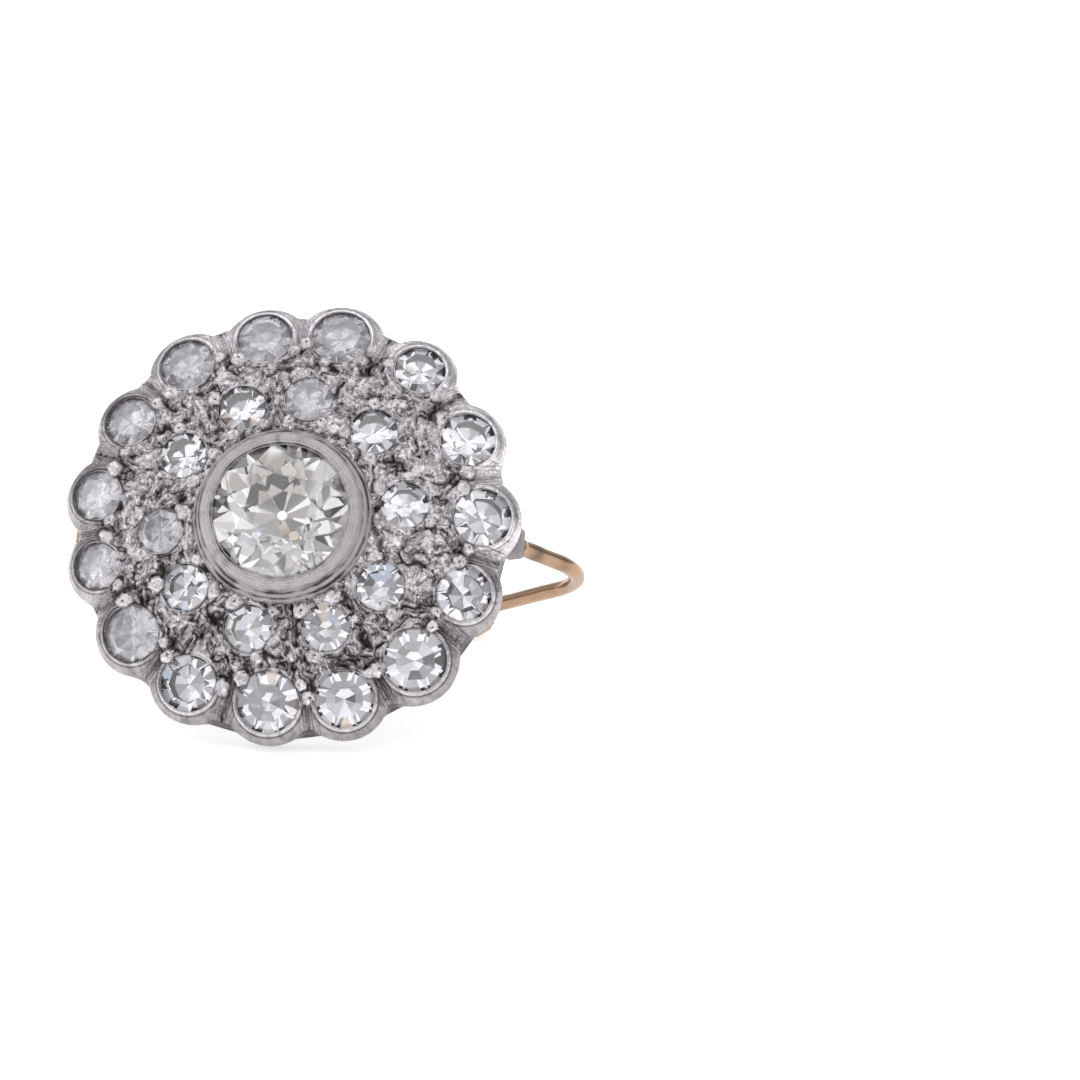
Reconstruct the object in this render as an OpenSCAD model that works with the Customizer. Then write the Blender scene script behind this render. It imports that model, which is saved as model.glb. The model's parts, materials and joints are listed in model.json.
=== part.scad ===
// Lever-back earring: a round domed cluster of old-cut diamonds in white metal, carried on a gold
// hook with a hinged gold lever that closes behind the ear lobe.
// The head is drawn flat, worn-up end along +X and stones along +Z, with its back edge at height 0.
// It is then laid down as it comes to rest by itself: on one scallop of the rim and on the side of
// the closed lever, so the stones face -Y and upwards.

/* [Head] */
// Radius of the sphere that the domed plate follows
dome_r = 26; // [24:0.5:32]
// Height of the dome's top over the back edge of the rim
dome_top = 2.6; // [2.4:0.05:2.9]
// Radius of the plate in the notches between the scallops
plate_r = 8.1; // [7.9:0.05:8.2]
// Thickness of the domed plate
plate_t = 1.15; // [1:0.05:1.3]
// Radius of the hollow behind the plate
hollow_r = 6; // [5.8:0.1:6.2]
// Width of the metal outside an outer stone
scallop_wall = 0.3; // [0.25:0.01:0.35]
// How far the middle of a scallop lies inside the middle of its stone
scallop_in = 0.35; // [0.2:0.05:0.4]
// How far a scallop draws in from its lip to the back edge of the rim
scallop_taper = 0.25; // [0.2:0.01:0.3]
// Height of the scalloped edge over the dome
scallop_lip = 0.24; // [0.15:0.01:0.3]
// Radius of the grains that hold the stones
grain_r = 0.25; // [0.2:0.01:0.28]

/* [Centre setting] */
// Place of the centre setting on the plate, which is a little off the middle
centre_at = [-0.15, -0.1];
// Outer radius of the collet at its lip
collet_lip_r = 3.04; // [3:0.01:3.1]
// Outer radius of the collet where it meets the dome
collet_foot_r = 3.28; // [3.2:0.01:3.35]
// Height of the collet's lip over the top of the dome
collet_h = 0.66; // [0.5:0.02:0.8]
// Height of the collet's open back end over the back edge of the rim
collet_back = 0.35; // [0.2:0.05:0.5]

/* [Stones] */
// Diameter of the centre stone
centre_d = 5.3; // [5.2:0.01:5.35]
// Depth of the centre stone below its girdle, as a share of its diameter
centre_depth = 0.42; // [0.4:0.01:0.44]
// Height of the centre stone's crown, as a share of its diameter
centre_crown = 0.165; // [0.14:0.005:0.18]
// Width of the centre stone's table, as a share of its diameter
centre_table = 0.5; // [0.45:0.01:0.56]
// Depth of a small stone below its girdle, as a share of its diameter
small_depth = 0.43; // [0.4:0.01:0.45]
// Height of a small stone's crown, as a share of its diameter
small_crown = 0.135; // [0.12:0.005:0.15]
// Width of a small stone's table, as a share of its diameter
small_table = 0.63; // [0.58:0.01:0.68]

/* [Hook] */
// Radius of the bend at the top of the hook
hook_r = 3.12; // [3:0.02:3.2]
// Distance of the bend's centre above the middle of the head, as worn
hook_up = 7.16; // [7.1:0.02:7.2]
// Distance of the bend's centre behind the back edge of the rim
hook_behind = 4.54; // [4.5:0.02:4.6]
// Turn of the bend in front of its highest point, where the straight front leg begins
hook_front_turn = 33; // [32:0.5:34]
// Turn of the bend behind its highest point, where the straight back leg begins
hook_back_turn = 45; // [44:0.5:46]
// Radius of the hook's wire
wire_r = 0.31; // [0.28:0.01:0.33]

/* [Lever] */
// Width of the lever at its ends
lever_w = 2.3; // [2.2:0.05:2.4]
// Thickness of the lever's strip
lever_t = 0.6; // [0.5:0.02:0.62]
// Distance of the lever's outer face behind the back edge of the rim
lever_behind = 10.25; // [10.2:0.01:10.3]
// How far each side of the lever draws in at its waist
waist = 0.35; // [0.2:0.05:0.4]
// Outer radius of the bend at the heel of the lever
heel_r = 3.2; // [2.6:0.1:3.6]
// How far the lever's forked end reaches above the middle of the head, as worn
fork_up = 6.55; // [6.4:0.05:6.6]
// Depth of the slot in the forked end
fork_depth = 1.3; // [1.1:0.05:1.5]

/* [Hinge] */
// Distance of the hinge below the middle of the head, as worn
hinge_down = 7.9; // [7.8:0.02:8]
// Distance of the hinge behind the back edge of the rim
hinge_behind = 1.3; // [1.2:0.05:1.5]
// Outer radius of the lever's two ears
ear_r = 0.75; // [0.72:0.01:0.8]
// Outer radius of the knuckle between the ears
knuckle_r = 0.7; // [0.66:0.01:0.7]
// Width of the knuckle
knuckle_w = 0.94; // [0.9:0.02:1]
// Radius of the hinge pin
pin_r = 0.3; // [0.28:0.01:0.32]

/* [Fits] */
// Clearance all round the pin in the knuckle, where it turns
running_gap = 0.03; // [0.02:0.01:0.05]
// Clearance all round the pin in the lever's ears, where it is riveted
rivet_gap = 0.01; // [0.01:0.005:0.02]
// Gap between pieces that are set or soldered together
seat_gap = 0.03; // [0.02:0.01:0.04]
// Clearance on each side of the knuckle and of the hook's tip in the fork
side_gap = 0.06; // [0.05:0.01:0.1]

/* [Hidden] */
$fn = 64;

// One row for each outer stone, from the worn-up end round: its angle on the head, its distance
// from the middle and its diameter
outer_rows = [
    [3, 7.3, 2.27],
    [27.5, 7.35, 2.16],
    [53.5, 7.55, 1.98],
    [79, 7.35, 2.27],
    [102, 7.2, 2.16],
    [126.5, 7.35, 2.16],
    [150.5, 7.3, 2],
    [175, 7.4, 1.98],
    [196.4, 7.43, 1.88],
    [219.8, 7.32, 2.22],
    [243.1, 7.3, 2.2],
    [268, 7.13, 2.38],
    [290.9, 7.33, 2.26],
    [314.5, 7.35, 2.44],
    [339, 7.3, 2.12]
];
// The same for each inner stone
inner_rows = [
    [7.5, 4.45, 1.86],
    [48.5, 4.55, 1.86],
    [84.5, 4.6, 1.86],
    [116.5, 4.6, 1.9],
    [152, 4.65, 1.86],
    [189.5, 4.85, 1.82],
    [219, 4.7, 1.86],
    [255.5, 4.6, 1.9],
    [292.5, 4.65, 1.9],
    [325, 4.55, 1.9]
];
// The stone whose scallop touches the surface that the earring lies on
rest_row = outer_rows[11];

// A height past everything on the head
above_all = 5;
// Thickness of the rim at its lips, where the scallops have their full size
rim_t = 1.35;
// Radius past which the scalloped edge is raised, so that it wraps the outer half of each stone
raised_from = 7.4;
// How far the collet's foot overlaps the edge of its hole in the plate
collet_overlap = 0.48;
// Outer radius of the collet's open back end
collet_back_r = 2.3;
// The collet's lip: its height, how far it reaches over the centre stone and its underside over
// the girdle
lip_z = dome_top + collet_h;
lip_over = 0.07;
lip_under = 0.11;
girdle_z = lip_z - 0.26;
centre_r = centre_d / 2;
// Depth of the ledge that a stone sits on under its girdle
seat_shelf = 0.13;
// Width of the hook's block on the rim
block_w = 1.12;
// Length of the hook's front leg, which ends on the block, and of its back leg, which ends in the
// lever's fork
front_leg = 2.48;
back_leg = 4.6;

function two_digits(i) = str(i < 10 ? "0" : "", i);
outer_names = [for (i = [1:len(outer_rows)]) str("outer_stone_", two_digits(i))];
inner_names = [for (i = [1:len(inner_rows)]) str("inner_stone_", two_digits(i))];

platinum = [0.74, 0.73, 0.72];
rose_gold = [0.83, 0.62, 0.45];
diamond = [0.9, 0.93, 0.96, 0.75];

// Radius of a scallop at the given height over its back edge
function scallop_r(row, z) =
    row[2] / 2 + scallop_wall + scallop_in - scallop_taper * (1 - z / rim_t);

// How the earring lies: the back of the rim's lowest scallop and the lever's edge are on one level
// line
rim_low = (scallop_in - rest_row[1]) * sin(rest_row[0]) + scallop_r(rest_row, 0);
rim_front = rim_low + scallop_taper;
lie_tilt = atan((rim_low - lever_w / 2) / lever_behind);
rest_height = rim_low * cos(lie_tilt);
// Middle of the footprint along X, from the hook's top to the hinge, and along Y, from the
// scallop's front edge to the lever
foot_x = (hook_up + hook_r + wire_r - hinge_down - ear_r) / 2;
foot_y = ((lever_w / 2 - rim_front) * sin(lie_tilt) + (lever_behind - rim_t) * cos(lie_tilt)) / 2;

// Laid on the surface
module lying() {
    translate([-foot_x, -foot_y, rest_height])
        rotate([90 - lie_tilt, 0, 0])
            children();
}

// At a stone's place on the dome, square to its surface
module on_dome(row) {
    rotate([0, 0, row[0]])
        translate([0, 0, dome_top - dome_r])
            rotate([0, asin(row[1] / dome_r), 0])
                translate([0, 0, dome_r])
                    children();
}

// At the centre setting's place, at the given height
module at_centre(z) {
    translate([centre_at[0], centre_at[1], z])
        children();
}

// A side view, worn-up along X and front along Y, given a width across the earring
module across(width) {
    rotate([90, 0, 0])
        linear_extrude(width, center = true)
            children();
}

// Cuts of the stones

function ring_of(n, r, z, turn = 0) =
    [for (i = [0:n - 1]) [r * cos(turn + i * 360 / n), r * sin(turn + i * 360 / n), z]];

// Eight-cut stone: a table, 8 crown facets and 8 pavilion facets on a round girdle of 16 sides,
// with its girdle at height 0
module eight_cut(d) {
    r = d / 2;
    half = cos(22.5);
    girdle = 0.08 * d;
    crown_z = small_crown * d;
    depth = small_depth * d;
    table_r = small_table * r;
    crown_dip = (crown_z - girdle / 2) / ((r - table_r) * half) * r * (1 - half);
    pavilion_dip = (depth - girdle / 2) / (r * half) * r * (1 - half);
    table = ring_of(8, table_r, crown_z, 22.5);
    top = [for (i = [0:15]) let (dip = i % 2 == 0 ? crown_dip : 0)
        [r * cos(22.5 * i), r * sin(22.5 * i), girdle / 2 - dip]];
    bottom = [for (i = [0:15]) let (dip = i % 2 == 0 ? pavilion_dip : 0)
        [r * cos(22.5 * i), r * sin(22.5 * i), dip - girdle / 2]];
    polyhedron(
        points = concat(table, top, bottom, [[0, 0, -depth]]),
        faces = concat(
            [[for (i = [7:-1:0]) i]],
            [for (i = [0:7]) [i, 8 + (2 * i + 1), 8 + 2 * i, 8 + (2 * i + 15) % 16, (i + 7) % 8]],
            [for (i = [0:15]) [8 + i, 8 + (i + 1) % 16, 24 + (i + 1) % 16, 24 + i]],
            [for (i = [0:7]) [24 + (2 * i + 15) % 16, 24 + 2 * i, 24 + 2 * i + 1, 40]]
        )
    );
}

// Old cut: a small table, 32 crown facets, 24 pavilion facets and a large flat culet, 58 in all
module old_cut(d) {
    r = d / 2;
    half = cos(22.5);
    girdle = 0.012 * d;
    crown_z = centre_crown * d;
    depth = centre_depth * d;
    table_r = centre_table * r;
    star_r = 0.74 * r;
    lower_r = 0.42 * r;
    culet_r = 0.09 * r;
    star_z = girdle + (crown_z - girdle) * (r - star_r * half) / (r - table_r);
    lower_z = -girdle - (depth - girdle) * (r - lower_r * half) / (r - culet_r * half);
    polyhedron(
        points = concat(
            ring_of(8, table_r, crown_z),
            ring_of(8, star_r, star_z, 22.5),
            ring_of(16, r, girdle),
            ring_of(16, r, -girdle),
            ring_of(8, lower_r, lower_z, 22.5),
            ring_of(8, culet_r, -depth, 22.5)
        ),
        faces = concat(
            [[for (i = [7:-1:0]) i]],
            [for (i = [0:7]) [i, (i + 1) % 8, 8 + i]],
            [for (i = [0:7]) [i, 8 + i, 16 + 2 * i, 8 + (i + 7) % 8]],
            [for (i = [0:7]) [8 + i, 16 + 2 * i + 1, 16 + 2 * i]],
            [for (i = [0:7]) [8 + i, 16 + (2 * i + 2) % 16, 16 + 2 * i + 1]],
            [for (i = [0:15]) [16 + i, 16 + (i + 1) % 16, 32 + (i + 1) % 16, 32 + i]],
            [for (i = [0:7]) [32 + 2 * i, 32 + 2 * i + 1, 48 + i]],
            [for (i = [0:7]) [32 + 2 * i + 1, 32 + (2 * i + 2) % 16, 48 + i]],
            [for (i = [0:7]) [32 + 2 * i, 48 + i, 56 + i, 56 + (i + 7) % 8, 48 + (i + 7) % 8]],
            [[for (i = [0:7]) 56 + i]]
        )
    );
}

// Head

// Ball whose cap is the dome, raised by the given height
module dome_ball(raise = 0) {
    translate([0, 0, dome_top - dome_r])
        sphere(r = dome_r + raise);
}

// Straight-sided plate with a scallop round each outer stone, narrower towards the back
module scalloped_plate() {
    cylinder(r = plate_r, h = above_all);
    for (row = outer_rows)
        rotate([0, 0, row[0]])
            translate([row[1] - scallop_in, 0, 0])
                cylinder(r1 = scallop_r(row, 0), r2 = scallop_r(row, above_all), h = above_all);
}

// Domed plate with its raised scalloped edge, hollow behind and open where the collet stands
module plate() {
    difference() {
        intersection() {
            dome_ball(scallop_lip);
            scalloped_plate();
        }
        // Ground inside the raised edge, down to the dome
        difference() {
            cylinder(r = raised_from, h = above_all);
            dome_ball();
        }
        intersection() {
            dome_ball(-plate_t);
            translate([0, 0, -1])
                cylinder(r = hollow_r, h = above_all);
        }
        at_centre(-1)
            cylinder(r = collet_foot_r - collet_overlap, h = above_all + 1);
    }
}

// Hole for a stone: open above its girdle, a tapered seat under it and a drilled hole to the back
module seat(row) {
    r = row[2] / 2;
    drill_r = 0.5 * r;
    on_dome(row)
        rotate_extrude()
            polygon([
                [0, -above_all],
                [drill_r, -above_all],
                [drill_r, -small_depth * row[2] - 0.1],
                [0.94 * r, -seat_shelf],
                [r + seat_gap, -seat_shelf],
                [r + seat_gap, above_all],
                [0, above_all]
            ]);
}

// Grains round a stone, at the given angles from the outward direction
module grains(row, angles) {
    on_dome(row)
        for (a = angles)
            rotate([0, 0, a])
                translate([row[2] / 2 + seat_gap + 0.7 * grain_r, 0, 0])
                    sphere(r = grain_r);
}

// Tapered tube round the centre stone, its lip turned in over the girdle
module collet() {
    lip_in = centre_r - lip_over;
    bore = centre_r + seat_gap;
    rotate_extrude()
        polygon([
            [lip_in, lip_z],
            [collet_lip_r, lip_z - 0.06],
            [collet_foot_r, dome_top - 0.2],
            [collet_foot_r - 0.3, dome_top - plate_t - 0.1],
            [collet_back_r, collet_back],
            [collet_back_r - 0.4, collet_back],
            [lip_in, girdle_z - seat_shelf],
            [bore, girdle_z - seat_shelf],
            [bore, girdle_z + lip_under],
            [lip_in, girdle_z + lip_under]
        ]);
}

// Small block on the rim that the hook is soldered to
module hook_block() {
    across(block_w)
        polygon([
            [7.6, 0.5],
            [8.4, 0.5],
            [8.62, 0.1],
            [8.72, -0.52],
            [8.12, -0.92],
            [7.6, -0.5]
        ]);
}

module head() {
    color(platinum)
        lying()
            difference() {
                union() {
                    plate();
                    at_centre(0)
                        collet();
                    for (row = outer_rows)
                        grains(row, [118, 242]);
                    for (row = inner_rows)
                        grains(row, [38, 142, 218, 322]);
                    hook_block();
                }
                for (row = concat(outer_rows, inner_rows))
                    seat(row);
            }
}

module centre_stone() {
    color(diamond)
        lying()
            at_centre(girdle_z)
                rotate([0, 0, 11])
                    old_cut(centre_d);
}

module small_stone(row) {
    color(diamond)
        lying()
            on_dome(row)
                eight_cut(row[2]);
}

// Ear hook, hinge and lever

// One leg of the hook, straight on from an end of its bend and drawn a hair thinner, so that the
// bend closes round its end
module hook_leg(turn, way, length) {
    closed_in = 0.1;
    rotate([0, 0, turn])
        translate([hook_r, 0, 0])
            rotate([way, 0, 0])
                translate([0, 0, -closed_in])
                    cylinder(r = wire_r - 0.01, h = length + closed_in);
}

module ear_hook() {
    color(rose_gold)
        lying()
            translate([hook_up, 0, -hook_behind])
                rotate([90, 0, 0]) {
                    rotate_extrude(angle = hook_front_turn + hook_back_turn, start = -hook_back_turn)
                        translate([hook_r, 0])
                            circle(r = wire_r);
                    hook_leg(hook_front_turn, -90, front_leg);
                    hook_leg(-hook_back_turn, 90, back_leg);
                }
}

// Round bar on the hinge's axis
module hinge_round(r, width = lever_w) {
    translate([-hinge_down, 0, -hinge_behind])
        rotate([90, 0, 0])
            cylinder(r = r, h = width, center = true);
}

// Knuckle between the lever's ears, with the foot that is soldered to the back of the rim
module hinge_knuckle() {
    foot_low = 0.45 - hinge_behind;
    color(rose_gold)
        lying()
            difference() {
                union() {
                    hinge_round(knuckle_r, knuckle_w);
                    across(knuckle_w)
                        polygon([
                            [-hinge_down - 0.4, -seat_gap],
                            [-hinge_down + 0.7, -seat_gap],
                            [-hinge_down + 0.5, foot_low],
                            [-hinge_down - 0.45, foot_low]
                        ]);
                }
                hinge_round(pin_r + running_gap, lever_w + 1);
            }
}

module hinge_pin() {
    color(rose_gold)
        lying()
            hinge_round(pin_r);
}

// Side view of the lever: ears, arm, heel and the straight back
module lever_side() {
    arm_x = -hinge_down - ear_r + 0.05;
    heel_x = arm_x + heel_r;
    heel_y = heel_r - lever_behind;
    translate([-hinge_down, -hinge_behind])
        circle(r = ear_r);
    translate([arm_x, heel_y])
        square([lever_t, -hinge_behind - heel_y]);
    intersection() {
        translate([heel_x, heel_y])
            difference() {
                circle(r = heel_r);
                circle(r = heel_r - lever_t);
            }
        translate([heel_x - 2 * heel_r, heel_y - 2 * heel_r])
            square(2 * heel_r);
    }
    translate([heel_x, -lever_behind])
        square([fork_up - heel_x, lever_t]);
}

// Plan of the lever, with cut corners at the forked end and a drawn-in waist
module lever_plan() {
    low_end = -hinge_down - 2 * ear_r;
    half = lever_w / 2;
    waist_half = 5.5;
    waist_r = (pow(waist_half, 2) + pow(waist, 2)) / (2 * waist);
    difference() {
        polygon([
            [low_end, -half],
            [fork_up - 0.6, -half],
            [fork_up, 0.4 - half],
            [fork_up, half - 0.4],
            [fork_up - 0.6, half],
            [low_end, half]
        ]);
        for (side = [-1, 1])
            translate([fork_up - fork_depth - waist_half - 0.3, side * (half - waist + waist_r)])
                circle(r = waist_r, $fn = 200);
    }
}

module lever() {
    knuckle_slot = knuckle_w + 2 * side_gap;
    fork_slot = 2 * (wire_r + side_gap);
    color(rose_gold)
        lying()
            difference() {
                intersection() {
                    across(lever_w)
                        lever_side();
                    translate([0, 0, -lever_behind - 1])
                        linear_extrude(lever_behind + 1)
                            lever_plan();
                }
                translate([-hinge_down - 2, -knuckle_slot / 2, -hinge_behind - knuckle_r - 0.35])
                    cube([4, knuckle_slot, above_all]);
                translate([fork_up - fork_depth, -fork_slot / 2, -lever_behind - 1])
                    cube([fork_depth + 1, fork_slot, above_all]);
                hinge_round(pin_r + rivet_gap, lever_w + 1);
            }
}

head();
centre_stone();
for (i = [0:len(outer_rows) - 1])
    small_stone(outer_rows[i]);
for (i = [0:len(inner_rows) - 1])
    small_stone(inner_rows[i]);
ear_hook();
hinge_knuckle();
hinge_pin();
lever();
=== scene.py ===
import json
import math
import random

import bpy
import numpy as np
from mathutils import Matrix, Vector, noise
from mathutils.geometry import delaunay_2d_cdt


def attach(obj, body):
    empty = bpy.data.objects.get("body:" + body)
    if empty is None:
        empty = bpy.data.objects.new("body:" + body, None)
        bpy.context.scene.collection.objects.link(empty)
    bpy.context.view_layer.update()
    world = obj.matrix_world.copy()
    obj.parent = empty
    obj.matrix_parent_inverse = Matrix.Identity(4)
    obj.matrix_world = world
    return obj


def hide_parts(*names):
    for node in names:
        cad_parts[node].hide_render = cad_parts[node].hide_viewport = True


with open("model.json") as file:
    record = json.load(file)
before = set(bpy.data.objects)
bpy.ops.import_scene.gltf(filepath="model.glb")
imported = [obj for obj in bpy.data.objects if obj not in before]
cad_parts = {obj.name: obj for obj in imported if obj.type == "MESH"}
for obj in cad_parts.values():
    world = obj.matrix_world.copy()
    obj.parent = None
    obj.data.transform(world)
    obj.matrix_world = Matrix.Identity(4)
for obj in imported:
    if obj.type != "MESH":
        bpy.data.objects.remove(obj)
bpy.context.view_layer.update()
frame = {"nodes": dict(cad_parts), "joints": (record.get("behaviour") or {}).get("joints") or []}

# How the earring lies: on the lowest scallop of its rim and on the edge of the closed lever, as it
# comes to rest when it is put down. The head is worked out flat and in millimetres, worn-up end
# along X and stones along Z, and is laid down by the place and direction of its hinge.
MM = 0.001
HINGE_X, HINGE_Z = -7.9, -1.3
hinge = frame["joints"][0]
hinge_at = Vector((HINGE_X, 0, HINGE_Z))
across = Vector(hinge["axis"]).normalized()
worn_up = Vector((1, 0, 0))
turned = Matrix((worn_up, across, worn_up.cross(across))).transposed().to_4x4()
lay = turned @ Matrix.Scale(MM, 4)
lay = Matrix.Translation(Vector(hinge["pos_m"]) - lay @ hinge_at) @ lay
pick_up = lay.inverted()


def piece(name, points, faces, material, body="earring", smooth=True, marks=None):
    """One piece of the earring, from points on the flat head. marks holds values for its points."""
    mesh = bpy.data.meshes.new(name)
    mesh.from_pydata([lay @ Vector(p) for p in points], [], faces)
    mesh.validate()
    for mark, values in (marks or {}).items():
        kept = mesh.attributes.new(mark, "FLOAT", "POINT")
        kept.data.foreach_set("value", np.asarray(values, np.float32))
    mesh.polygons.foreach_set("use_smooth", [smooth] * len(mesh.polygons))
    mesh.materials.append(material)
    made = bpy.data.objects.new(name, mesh)
    bpy.context.scene.collection.objects.link(made)
    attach(made, body)
    return made


# The domed plate: a white metal casting, pierced for 25 small stones round a hole for the collet,
# with a scalloped edge. Its face is cut all over with a graver, which leaves small bright facets
# and dark furrows, and each outer stone's scallop is rubbed over the stone as a smooth lip.
DOME_R, DOME_TOP = 26, 2.6
DOME_MIDDLE = Vector((0, 0, DOME_TOP - DOME_R))
NOTCH_R = 8.1
WALL, SCALLOP_IN, TAPER = 0.3, 0.35, 0.25
COLLET_AT = np.array((-0.15, -0.1))
COLLET_FOOT_R = 3.28
COLLET_HOLE_R = COLLET_FOOT_R - 0.12


class Setting:
    """A small stone's place on the dome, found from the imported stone: x outward, z off the dome."""

    def __init__(self, name):
        mesh = frame["nodes"][name].data
        points = [Vector(p) for p in {tuple(round(c, 7) for c in v.co) for v in mesh.vertices}]
        points = [pick_up @ p for p in points]
        out = (sum(points, Vector()) / len(points) - DOME_MIDDLE).normalized()
        self.name = name
        self.angle = math.atan2(out.y, out.x)
        self.place = (
            Matrix.Translation(DOME_MIDDLE)
            @ Matrix.Rotation(self.angle, 4, "Z")
            @ Matrix.Rotation(math.acos(out.z), 4, "Y")
            @ Matrix.Translation((0, 0, DOME_R))
        )
        flat = [self.place.inverted() @ p for p in points]
        self.radius = max(math.hypot(p.x, p.y) for p in flat)
        self.at = np.array(self.place.translation)
        self.x, self.y, self.z = (np.array(self.place.to_3x3().col[i]) for i in range(3))
        self.outer = name.startswith("outer")

    def ring(self, radius, count, height=0.0):
        turn = np.linspace(0, 2 * math.pi, count, endpoint=False)[:, None]
        return self.at + radius * (np.cos(turn) * self.x + np.sin(turn) * self.y) + height * self.z


ringed = ("outer_", "inner_")
settings = [Setting(name) for name in sorted(frame["nodes"]) if name.startswith(ringed)]
outer_settings = [s for s in settings if s.outer]


def dome(x, y):
    return DOME_TOP - DOME_R + np.sqrt(DOME_R**2 - x**2 - y**2)


def rim_radius(turn, drawn_in):
    """Distance of the scalloped edge from the middle of the head, in each direction."""
    reach = np.full(turn.shape, NOTCH_R)
    for s in outer_settings:
        middle = math.hypot(s.at[0], s.at[1]) - SCALLOP_IN
        along = middle * np.cos(turn - s.angle)
        inside = along**2 - (middle**2 - (s.radius + WALL + SCALLOP_IN - drawn_in) ** 2)
        reach = np.maximum(reach, np.where(inside > 0, along + np.sqrt(np.maximum(inside, 0)), 0))
    return reach


OUTLINE_POINTS = 1200
outline_turns = np.linspace(0, 2 * math.pi, OUTLINE_POINTS, endpoint=False)
outline = rim_radius(outline_turns, 0.0)
back_outline = rim_radius(outline_turns, TAPER)
notches = [
    math.atan2(math.sin(a.angle) + math.sin(b.angle), math.cos(a.angle) + math.cos(b.angle))
    for a, b in zip(outer_settings, outer_settings[1:] + outer_settings[:1])
]


def circle(turns):
    return np.column_stack((np.cos(turns), np.sin(turns)))


def from_collet(x, y):
    return np.hypot(x - COLLET_AT[0], y - COLLET_AT[1])


def to_rim(x, y, edge=outline):
    """How far each point lies inside the scalloped edge."""
    turn = np.arctan2(y, x) % (2 * math.pi)
    return np.interp(turn, outline_turns, edge, period=2 * math.pi) - np.hypot(x, y)


def ease(low, high, value):
    """0 up to low, 1 from high on, and smooth between."""
    t = np.clip((value - low) / (high - low), 0, 1)
    return t * t * (3 - 2 * t)


def hump(value, middle, width):
    """1 where value is at middle, falling smoothly to both sides."""
    return np.exp(-(((value - middle) / width) ** 2))


def uneven(xy, waves, layer):
    """Smooth noise at each place, with so many waves to a unit of length, and new on each layer."""
    return np.array([noise.noise((u * waves, v * waves, layer)) for u, v in xy.tolist()])


# How close the graver's marks lie, as waves to a millimetre, how wide its furrows and scratches
# are, as shares of the wave that each follows, and the height that its lumps are cut off at.
GRAVER_SEED = 3
MOUNDS, LUMPS, CURLS, HOLLOWS, FACETS = 0.9, 1.25, 3.1, 1.9, 2.4
FURROW, SCRATCH, CUT_OFF = 0.022, 0.036, 0.3
noise.seed_set(GRAVER_SEED)


def cut_marks(x, y):
    """Relief and darkness that the graver leaves at each point of the plate: rounded lumps and curls
    between thin dark furrows, cut into small facets that lean every way, with a few pits."""
    relief, dark = np.zeros((2, len(x)))
    for i, (px, py) in enumerate(zip(x.tolist(), y.tolist())):
        sway = noise.noise_vector((px * 0.9, py * 0.9, 3.0)) * 0.5
        sway += noise.noise_vector((px * 2.6, py * 2.6, 6.0)) * 0.22
        here = Vector((px + sway.x, py + sway.y, 0))
        mound = noise.noise(here * MOUNDS)
        lump = abs(noise.noise(here * LUMPS + Vector((0, 0, 5))))
        curl = abs(noise.noise(here * CURLS + Vector((0, 0, 11))))
        hollow = max(0.0, noise.noise(here * HOLLOWS + Vector((0, 0, 17))) - CUT_OFF)
        facet_at = noise.voronoi(here * FACETS)[1][0]
        lean = noise.noise_vector(facet_at * 5.3)
        facet = lean.dot(here * FACETS - facet_at)
        furrow = math.exp(-((lump / FURROW) ** 2))
        scratch = math.exp(-((curl / SCRATCH) ** 2))
        lump, curl = min(lump, CUT_OFF), min(curl, CUT_OFF)
        relief[i] = 0.12 * mound + 0.5 * lump + 0.34 * curl + 0.24 * facet - 0.3 * hollow
        dark[i] = 0.9 * furrow + 0.8 * scratch + 1.4 * hollow - 0.4 * mound + 0.7 * lean.z
        dark[i] += 0.26 - 0.8 * lump - 1.1 * curl
    return relief, dark


def shaded_side(x, y):
    """How much painted shade each place gets: 0 on the side of the head that catches the light,
    and 1 on the lower right.
    """
    return ease(-1.0, 6.5, 0.5 * x - 0.85 * y)


# The lips stand this high, and the plate's outer edge is rounded over this width
LIP_HIGH, ROUNDED = 0.2, 0.17


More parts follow.
